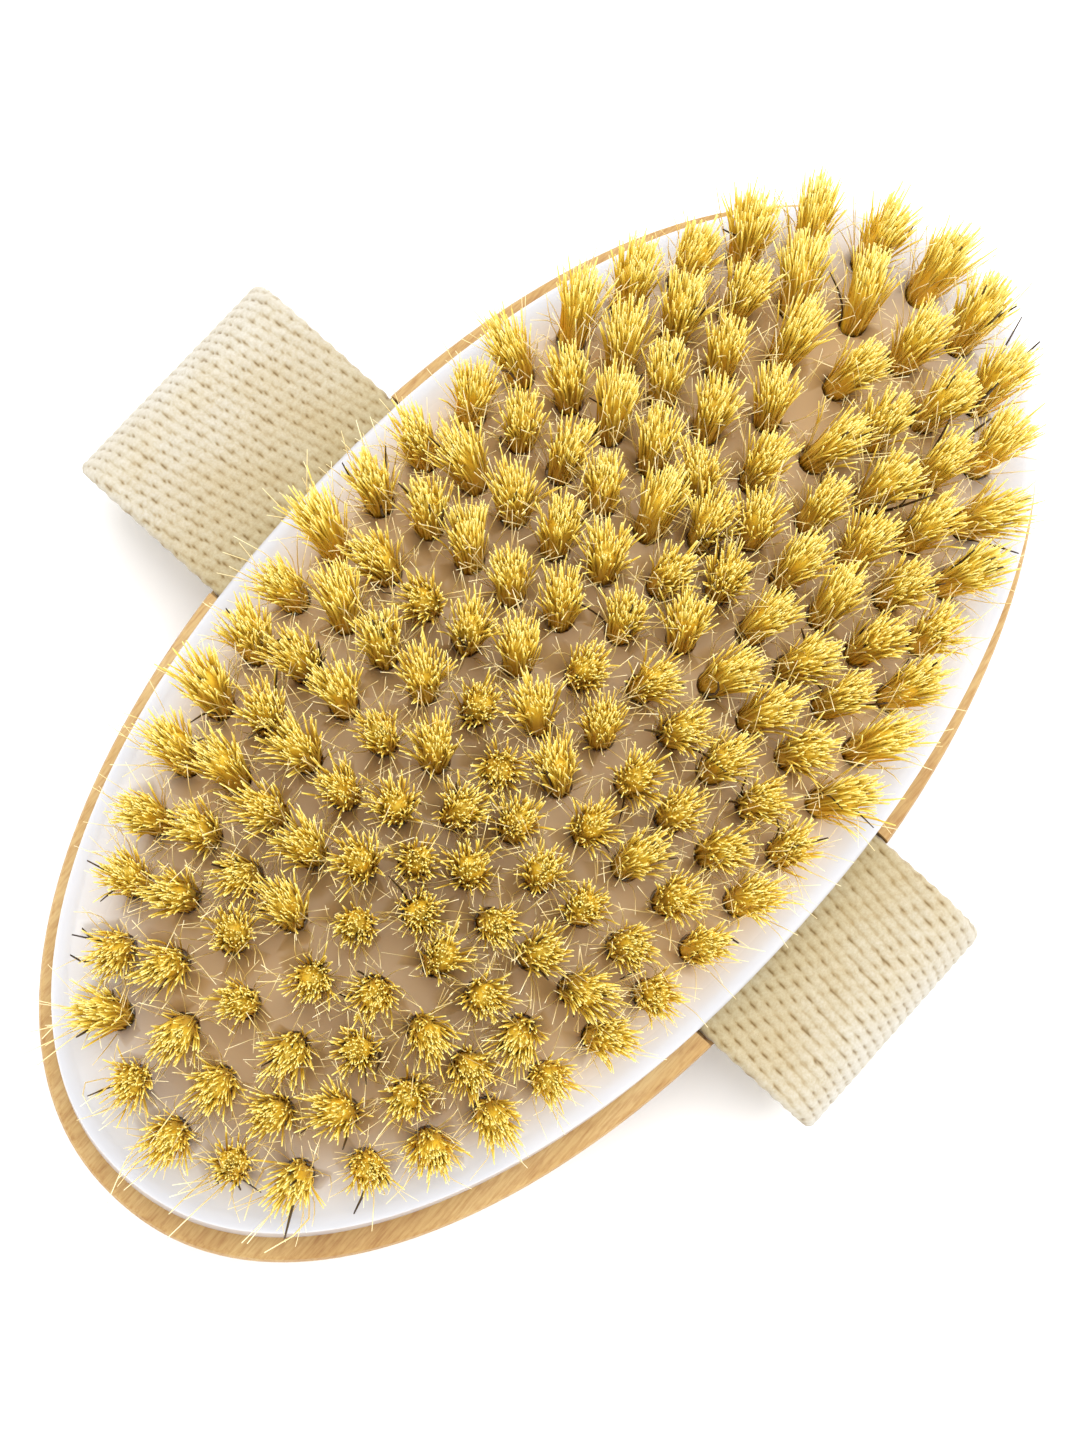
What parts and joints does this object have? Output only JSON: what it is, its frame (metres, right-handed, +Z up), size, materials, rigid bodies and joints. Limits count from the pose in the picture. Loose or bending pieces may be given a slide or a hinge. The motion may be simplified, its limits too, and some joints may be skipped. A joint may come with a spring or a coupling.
{
  "type": "body dry brush",
  "caption": "Oval body dry brush with a wooden back, a white plastic plate set with natural bristle tufts, and a cotton webbing strap that loops under the back for the hand",
  "frame": {"origin": "centre of the face it rests on, which is the underside of the strap's lower run, with the middle of the brush straight above", "axes": "+X along the brush, +Y across it to the side where the strap loop stands out more, +Z up towards the bristle tips"},
  "size_m": [0.134, 0.1059, 0.0484],
  "materials": {
    "wood": "pale sanded beech, matt, with fine grain",
    "plate": "white slightly milky moulded plastic, glossy",
    "webbing": "undyed cotton webbing, coarse weave",
    "staple_wire": "plain wire",
    "bristle": "natural golden bristle with paler split tips and some dark hairs",
    "anchor_wire": "plain flat wire"
  },
  "bodies": {
    "root": {"wood_back": "wood", "bristle_plate": "plate", "strap_tail_left": "webbing", "strap_tail_right": "webbing", "strap_bend_left": "webbing", "strap_bend_right": "webbing", "staples_left": "staple_wire", "staples_right": "staple_wire", "tuft_ring_1": "bristle", "tuft_ring_2": "bristle", "tuft_ring_3": "bristle", "tuft_ring_4": "bristle", "tuft_ring_5": "bristle", "tuft_centre_row": "bristle", "anchor_ring_1": "anchor_wire", "anchor_ring_2": "anchor_wire", "anchor_ring_3": "anchor_wire", "anchor_ring_4": "anchor_wire", "anchor_ring_5": "anchor_wire", "anchor_centre_row": "anchor_wire"},
    "strap": {"strap_lower_run": "webbing"}
  },
  "joints": [
    {"name": "strap_open", "type": "slide", "parent": "root", "child": "strap", "axis": [0, 0, -1], "range_m": [0, 0.016], "deforming": ["strap_bend_left", "strap_bend_right"]}
  ]
}
